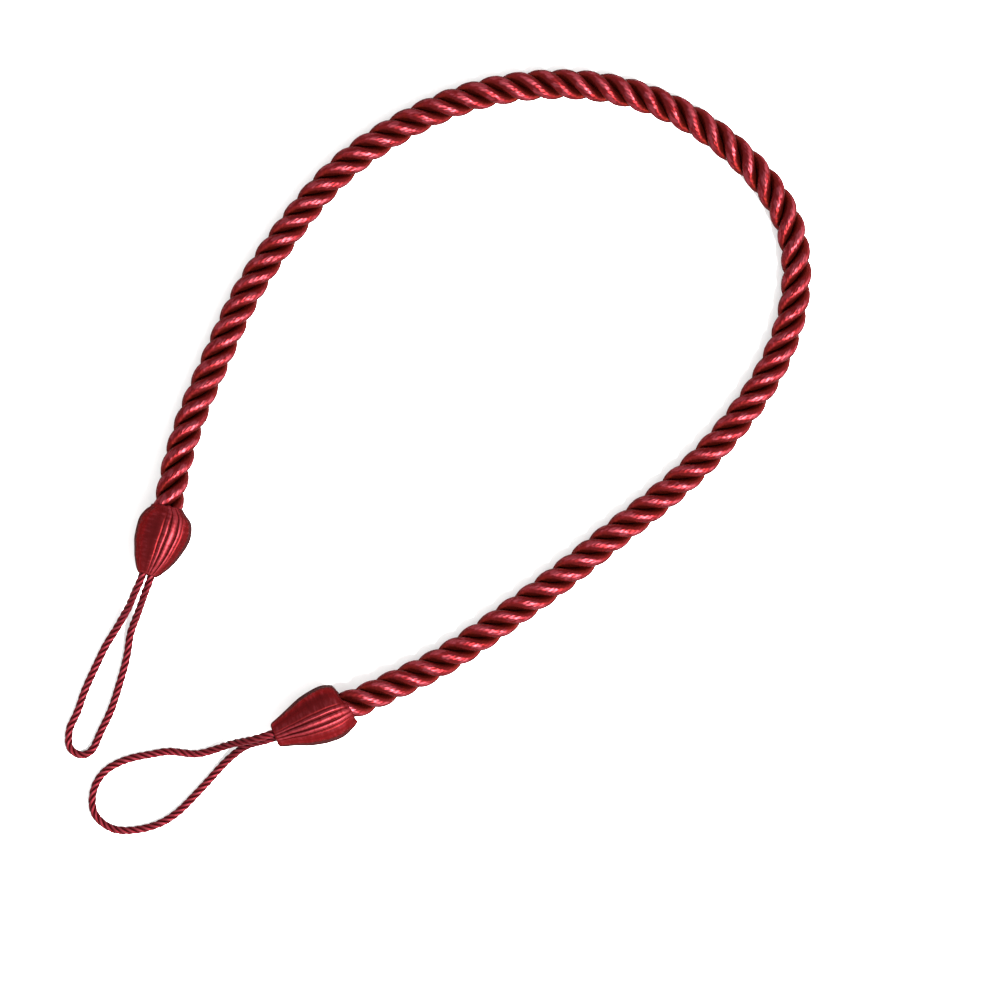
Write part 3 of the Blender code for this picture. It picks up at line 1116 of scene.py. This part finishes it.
        # grooves get painted shade and raised folds a painted highlight through this crest height
        crest = np.clip(self.even_crest + heights / self.full_fold, 0.0, 1.0)
        attribute = mesh.attributes.new("crest", "FLOAT", "POINT")
        attribute.data.foreach_set("value", crest.astype(np.float32))
        mesh.shade_smooth()
        mesh.materials.append(self.finish)
        mesh.update()
        piece = placed(self.name, mesh)
        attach(piece, BODY)
        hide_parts(self.node)
        LOG.info("%s: %d faces", self.name, len(mesh.polygons))
        return piece


LEFT_PROFILE: list[Point] = [
    (0.0005, 0.0066, 0.0002),
    (0.0011, 0.0071, 0.0006),
    (0.0018, 0.0077, 0.001),
    (0.0025, 0.0085, 0.0012),
    (0.0035, 0.0094, 0.00135),
    (0.0047, 0.0101, 0.0014),
    (0.0065, 0.01075, 0.00135),
    (0.0088, 0.0111, 0.0014),
    (0.0112, 0.01105, 0.0014),
    (0.0135, 0.01075, 0.00125),
    (0.0165, 0.01005, 0.00105),
    (0.0195, 0.009, 0.00095),
    (0.0223, 0.00785, 0.0007),
    (0.025, 0.0064, 0.00045),
    (0.0269, 0.0052, 0.0002),
    (0.0277, 0.0046, 0.0001),
    (0.0282, 0.0041, 0.0),
]
RIGHT_PROFILE: list[Point] = [
    (0.0, 0.007, 0.0),
    (0.0004, 0.008, 0.0),
    (0.001, 0.0091, -0.0001),
    (0.0019, 0.01, -0.0002),
    (0.0032, 0.01065, -0.0002),
    (0.0048, 0.0111, -0.00025),
    (0.0068, 0.01135, -0.0003),
    (0.0092, 0.01125, -0.00025),
    (0.0125, 0.01085, -0.0002),
    (0.0155, 0.0102, -0.0002),
    (0.0185, 0.0093, -0.0001),
    (0.0215, 0.0081, -0.0001),
    (0.0245, 0.0069, -0.0001),
    (0.027, 0.00605, 0.0),
    (0.029, 0.0054, 0.0),
    (0.0298, 0.005, 0.0),
    (0.0302, 0.0045, 0.0),
]
LEFT_RIBS = [
    Rib(84, 4.0, 0.00028),
    Rib(78.3, 1.5, -0.0005),
    Rib(69.5, 6.0, 0.00032),
    Rib(61.2, 1.6, -0.00055),
    Rib(55, 4.0, 0.0003),
    Rib(49.5, 1.6, -0.00035),
    Rib(92, 2.0, -0.0002),
    Rib(38, 2.0, -0.00012),
    Rib(108, 5.0, -0.00012),
    Rib(142, 6.0, -0.00015),
    Rib(187, 6.0, -0.00025),
    Rib(225, 6.0, -0.0003),
    Rib(315, 6.0, -0.0003),
    Rib(338, 5.0, -0.00025),
    Rib(17, 4.0, -0.00012),
]
RIGHT_RIBS = [
    Rib(94.4, 3.6, 0.0003),
    Rib(89.3, 1.6, -0.00045),
    Rib(81.2, 5.0, 0.00032),
    Rib(73.6, 1.6, -0.0005),
    Rib(67.2, 4.4, 0.0003),
    Rib(60, 1.8, -0.0004),
    Rib(101, 2.2, -0.00022),
    Rib(45, 3.0, -0.0001),
    Rib(127, 6.0, -0.00015),
    Rib(165, 6.0, -0.00025),
    Rib(202, 6.0, -0.0003),
    Rib(232, 6.0, -0.0003),
    Rib(308, 6.0, -0.0003),
    Rib(338, 5.0, -0.00025),
    Rib(22, 5.0, -0.00012),
]
LEFT_LOBES = [
    RimLobe(84, 7, 0.0004),
    RimLobe(60, 8, 0.0004),
    RimLobe(128, 14, 0.0003),
    RimLobe(215, 20, 0.0004),
]
RIGHT_LOBES = [
    RimLobe(55, 48, 0.0016, 0.0, 4.0),
    RimLobe(18, 11, 0.0008, 0.0007),
    RimLobe(215, 20, 0.0004),
]
ROPE_YARN = SatinThread(
    name="rope_yarn",
    crest=(0.052, 0.0036, 0.0047, 1.0),
    # next two colours: the dye in painted shade for the hollows, and a painted highlight for the
    # crests
    hollow_shade=(0.046, 0.0033, 0.0016, 1.0),
    painted_highlight=(0.083, 0.0122, 0.0157, 1.0),
    pitch=0.001,
    thread_height=0.00005,
    roughness=0.42,
    anisotropy=0.8,
    metallic=0.86,
    coat=0.012,
    dye_drift=1.4,
    lie=0.6,
    lie_length=0.004,
)
CAP_FOLDS = SatinThread(
    name="gathered_satin",
    crest=(0.058, 0.0045, 0.0052, 1.0),
    # next two colours: the dye in painted shade for the hollows, and a painted highlight for the
    # crests
    hollow_shade=(0.014, 0.0011, 0.0006, 1.0),
    painted_highlight=(0.085, 0.0105, 0.013, 1.0),
    pitch=0.0006,
    thread_height=0.00003,
    roughness=0.47,
    anisotropy=0.5,
    dark_below=0.0,
    full_above=0.9,
    lie=0.5,
)
CORD_THREAD = SatinThread(
    name="twisted_thread",
    crest=(0.045, 0.0036, 0.0052, 1.0),
    # next two colours: the dye in painted shade for the hollows, and a painted highlight for the
    # crests
    hollow_shade=(0.011, 0.0006, 0.0006, 1.0),
    painted_highlight=(0.065, 0.0086, 0.012, 1.0),
    pitch=0.0003,
    thread_height=0.00002,
    roughness=0.5,
    anisotropy=0.6,
    metallic=0.6,
)


def main() -> None:
    """Builds the studio and the tieback, and reports each piece."""
    logging.basicConfig(level=logging.INFO, format="%(name)s: %(message)s")
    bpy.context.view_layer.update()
    Studio().build()
    cap_finish = CAP_FOLDS.build()
    cord_finish = CORD_THREAD.build()
    tree = TwistTree()
    cap_left = EndCap(
        name="cap_left_covered",
        node="cap_left",
        slot="cap_satin",
        mouth=(-0.1078, -0.0218, 0.0098),
        end=(-0.1158, -0.0488, 0.0118),
        profile=LEFT_PROFILE,
        slant=0.0006,
        ribs=LEFT_RIBS,
        lobes=LEFT_LOBES,
        finish=cap_finish,
    ).build()
    cap_right = EndCap(
        name="cap_right_covered",
        node="cap_right",
        slot="cap_satin",
        mouth=(-0.037, -0.1017, 0.01045),
        end=(-0.065, -0.113, 0.0118),
        profile=RIGHT_PROFILE,
        slant=0.0006,
        ribs=RIGHT_RIBS,
        lobes=RIGHT_LOBES,
        finish=cap_finish,
    ).build()
    TwistedCord(
        name="rope_twisted",
        node="rope",
        slot="rope_satin",
        route=ROPE_ROUTE,
        radius=0.0061,
        lead=0.0282,
        finish=ROPE_YARN.build(),
        tree=tree,
        yarn=YarnLay.ALONG_THE_ROPE,
        stiffness="medium",
        ring_step=0.00047,
        points_around=24,
        unevenness=0.0002,
        uneven_length=0.003,
    ).build([cap_left, cap_right])
    for side, route in (("left", LEFT_LOOP_ROUTE), ("right", RIGHT_LOOP_ROUTE)):
        TwistedCord(
            name=f"loop_{side}_twisted",
            node=f"loop_{side}",
            slot="cord_twist",
            route=route,
            radius=0.0016,
            lead=0.0126,
            finish=cord_finish,
            tree=tree,
            yarn=YarnLay.SPUN,
            stiffness="limp",
            ring_step=0.00025,
            points_around=16,
            unevenness=0.00008,
            uneven_length=0.0015,
            plies=4,
            helix_share=0.6,
            height_share=0.4,
            width_share=0.48,
        ).build([])
    bpy.context.view_layer.update()


if __name__ == "__main__":
    main()
